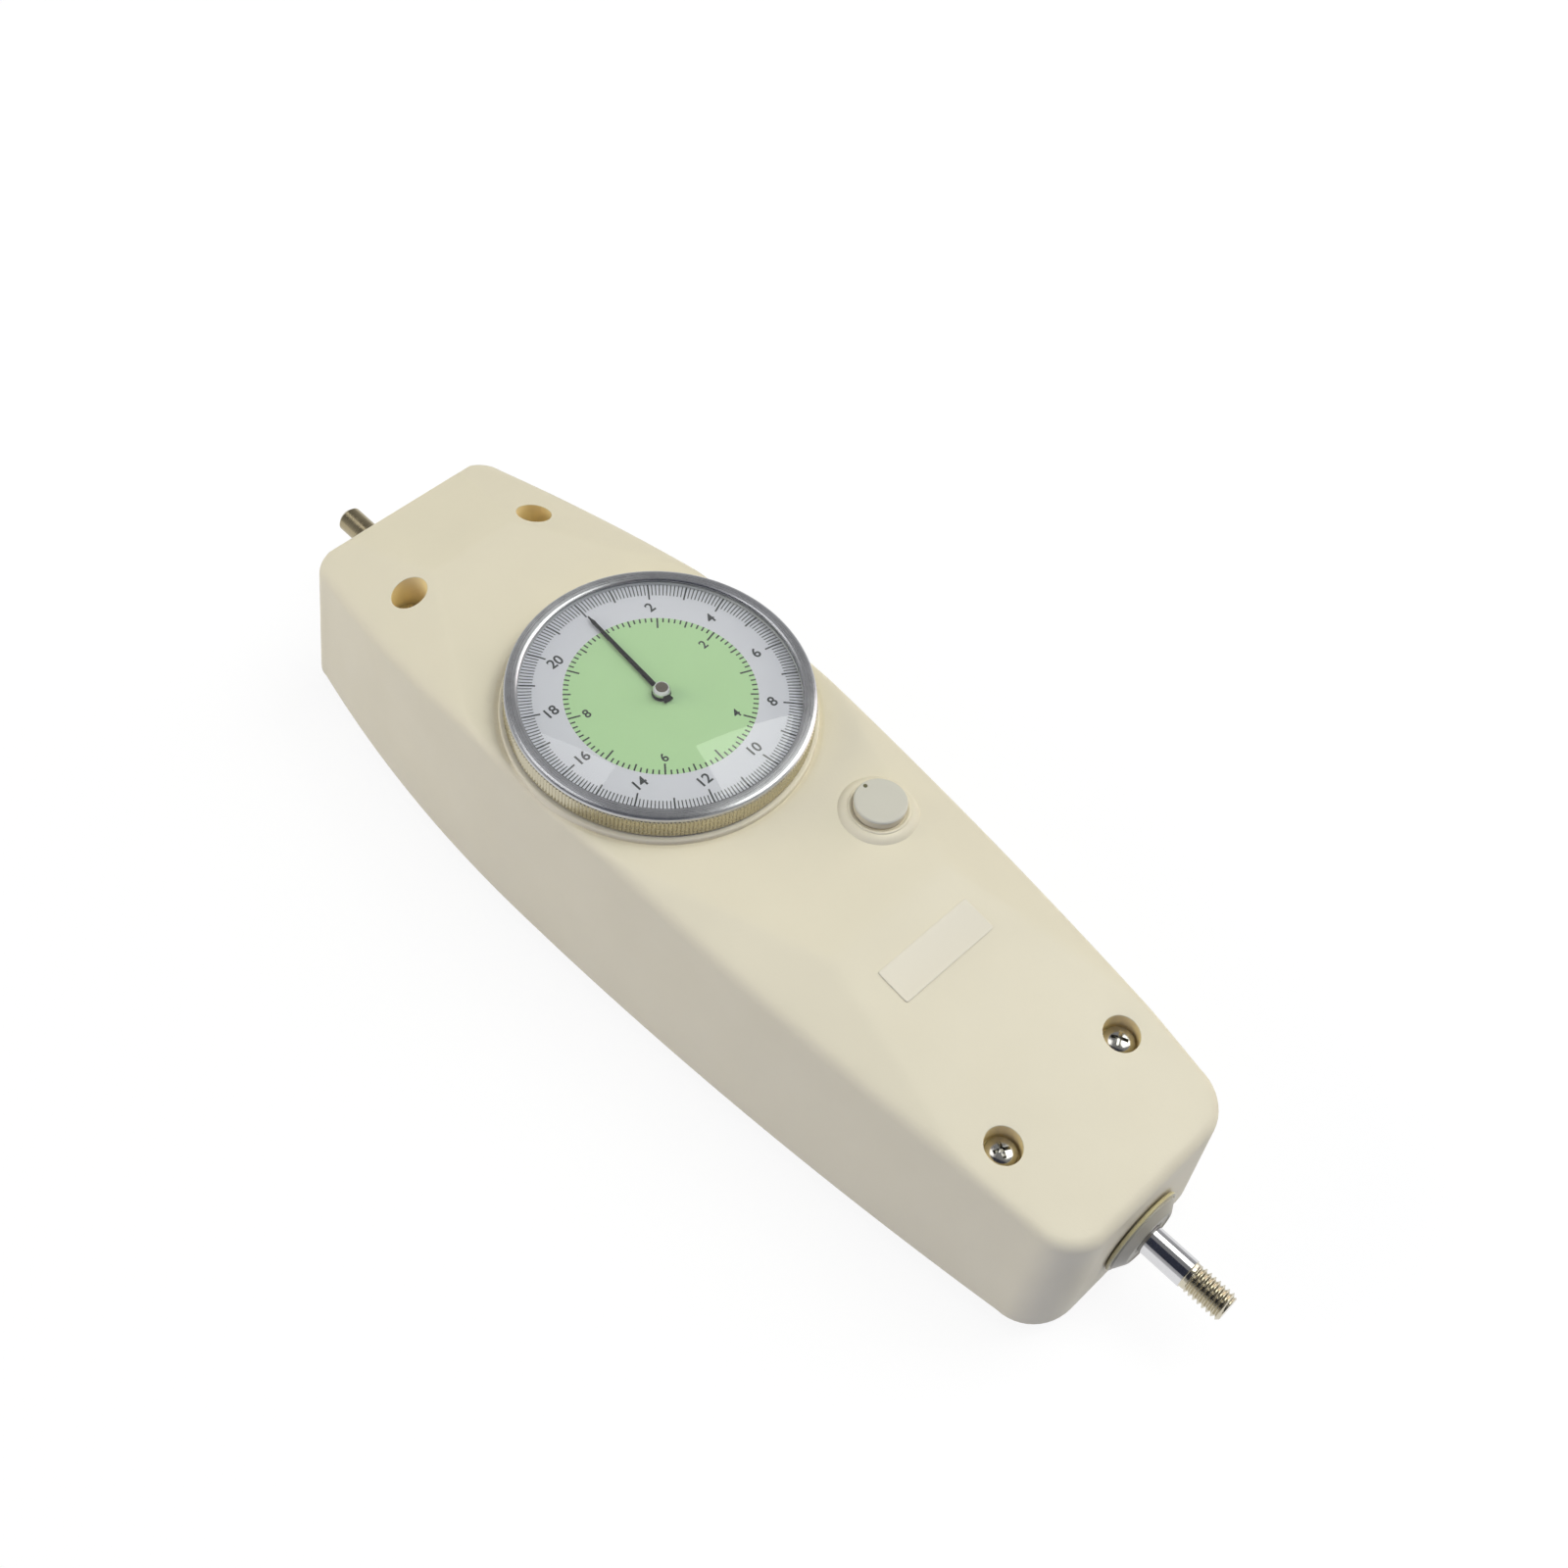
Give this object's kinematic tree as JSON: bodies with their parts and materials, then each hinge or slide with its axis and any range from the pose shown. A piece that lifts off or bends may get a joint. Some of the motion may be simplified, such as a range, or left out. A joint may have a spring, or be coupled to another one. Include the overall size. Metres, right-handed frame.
{
  "type": "mechanical force gauge",
  "caption": "Mechanical push-pull force gauge with a round dial, turning bezel, hold knob and a sprung rod through both ends of a long plastic case.",
  "frame": {"origin": "on the flat back face, straight under the dial's axis", "axes": "+X along the rod towards its threaded measuring end, +Z out of the back face towards the dial, +Y across the case so that the frame is right-handed"},
  "size_m": [0.2389, 0.066, 0.0519],
  "materials": {
    "case_plastic": "fine matte ivory plastic",
    "cover_plastic": "matte ivory plastic",
    "bush_plastic": "satin ivory plastic",
    "bezel_metal": "brushed and knurled aluminium",
    "dial_face": "printed pale grey dial",
    "pointer_black": "matte black",
    "crystal_glass": "clear domed lens",
    "gasket_grey": "soft grey gasket",
    "chrome": "polished chrome",
    "steel": "machined steel",
    "spring_steel": "spring steel",
    "brass": "machined brass",
    "bronze": "sintered bronze",
    "block_alloy": "milled aluminium",
    "knob_plastic": "light grey plastic",
    "knob_body": "ivory plastic",
    "ruby": "bearing jewel",
    "nylon": "white nylon",
    "label_film": "blank label",
    "brake_felt": "brake pad"
  },
  "bodies": {
    "case": {"front_case": "case_plastic", "back_cover": "cover_plastic", "case_screws": "chrome", "stand_inserts": "brass", "label_plate": "label_film", "front_bush": "bush_plastic", "rear_bush": "bush_plastic", "chassis_plate": "steel", "chassis_screws": "steel", "block_screws": "steel", "front_guide_block": "block_alloy", "middle_guide_block": "block_alloy", "rear_guide_block": "block_alloy", "guide_bushes": "bronze", "front_spring": "spring_steel", "rear_spring": "spring_steel", "base_plate": "brass", "top_plate": "brass", "lower_pillars": "brass", "upper_pillars": "brass", "pillar_screws": "steel", "arbor_bearings": "ruby", "hairspring": "spring_steel", "hairspring_stud": "brass", "cup_posts": "brass", "cup_screws": "steel", "dial_cup": "block_alloy", "bezel_clip": "spring_steel", "knob_bush": "brass"},
    "bezel": {"bezel": "bezel_metal", "crystal": "crystal_glass", "crystal_gasket": "gasket_grey", "dial_plate": "dial_face"},
    "rod": {"main_rod": "chrome", "spring_collar": "brass", "collar_pin": "steel", "stop_rings": "steel", "rack_clamp": "brass", "rack": "steel", "rack_screws": "steel"},
    "transfer": {"transfer_arbor": "steel", "rack_pinion": "brass", "transfer_gear": "brass"},
    "pointer": {"centre_arbor": "steel", "centre_pinion": "steel", "brake_wheel": "brass", "hairspring_collet": "brass", "pointer": "pointer_black", "pointer_hub": "chrome"},
    "knob": {"knob": "knob_body", "knob_cap": "knob_plastic", "knob_spindle": "steel", "knob_cam": "nylon"},
    "lever": {"hold_lever": "steel", "brake_pad": "brake_felt"}
  },
  "joints": [
    {"name": "rod_slide", "type": "slide", "parent": "case", "child": "rod", "axis": [1, 0, 0], "range_m": [-0.01005, 0.01005], "stiffness_N_per_m": 9700, "deforming": ["front_spring", "rear_spring"]},
    {"name": "transfer_turn", "type": "hinge", "parent": "case", "child": "transfer", "pos_m": [-0.009, -0.01225, 0.03], "axis": [0, 0, 1], "range_deg": [-97, 97]},
    {"name": "pointer_turn", "type": "hinge", "parent": "case", "child": "pointer", "pos_m": [0, 0, 0.03], "axis": [0, 0, 1], "range_deg": [-362, 362]},
    {"name": "bezel_turn", "type": "hinge", "parent": "case", "child": "bezel", "pos_m": [0, 0, 0.0477], "axis": [0, 0, 1], "continuous": true},
    {"name": "knob_turn", "type": "hinge", "parent": "case", "child": "knob", "pos_m": [0.0428, 0.0143, 0.045], "axis": [0, 0, 1], "range_deg": [-90, 0]},
    {"name": "lever_turn", "type": "hinge", "parent": "case", "child": "lever", "pos_m": [0.018, 0.013, 0.0326], "axis": [0, 0, 1], "range_deg": [-0.1, 2.9]}
  ],
  "couplings": [
    {"joint": "transfer_turn", "follows": "rod_slide", "rad_per_m": -166.67},
    {"joint": "pointer_turn", "follows": "rod_slide", "rad_per_m": 625},
    {"joint": "lever_turn", "follows": "knob_turn", "ratio": -0.030778}
  ]
}
